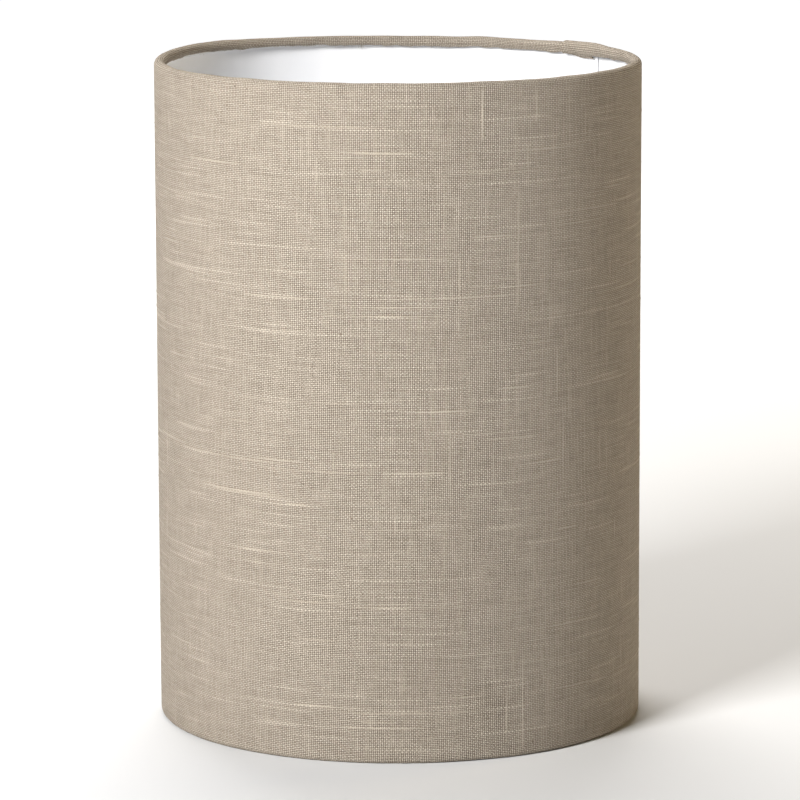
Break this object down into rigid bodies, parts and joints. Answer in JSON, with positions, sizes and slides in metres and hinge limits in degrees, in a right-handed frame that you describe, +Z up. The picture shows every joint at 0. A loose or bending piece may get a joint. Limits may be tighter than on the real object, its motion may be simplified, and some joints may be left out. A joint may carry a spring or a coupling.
{
  "type": "lamp shade",
  "caption": "Tall straight cylindrical table lamp shade of slub linen on a white lining, with rolled wire rims and a recessed spoked fitter with a lift-out reducing ring.",
  "frame": {"origin": "centre of the bottom edge, on the surface that the shade stands on", "axes": "+Z up along the shade's own axis; the side seam is at the rear, 38 degrees from +X towards +Y"},
  "size_m": [0.2198, 0.2198, 0.3],
  "materials": {
    "linen": "plain-woven slub linen, taupe, matt",
    "lining": "satin white laminated lining sheet",
    "tape": "thin double-sided adhesive tape",
    "coated_wire": "white powder coat",
    "moulded_plastic": "fine-textured white moulding"
  },
  "bodies": {
    "shade": {"linen_cover": "linen", "lining_panel": "lining", "seam_tape": "tape", "top_ring": "coated_wire", "bottom_ring": "coated_wire", "spoke_1": "coated_wire", "spoke_2": "coated_wire", "spoke_3": "coated_wire", "fitter_collar": "coated_wire"},
    "reducer": {"reducer_ring": "moulded_plastic"}
  },
  "joints": [
    {"name": "reducer_lift", "type": "slide", "parent": "shade", "child": "reducer", "axis": [0, 0, 1], "range_m": [0, 0.3]}
  ]
}
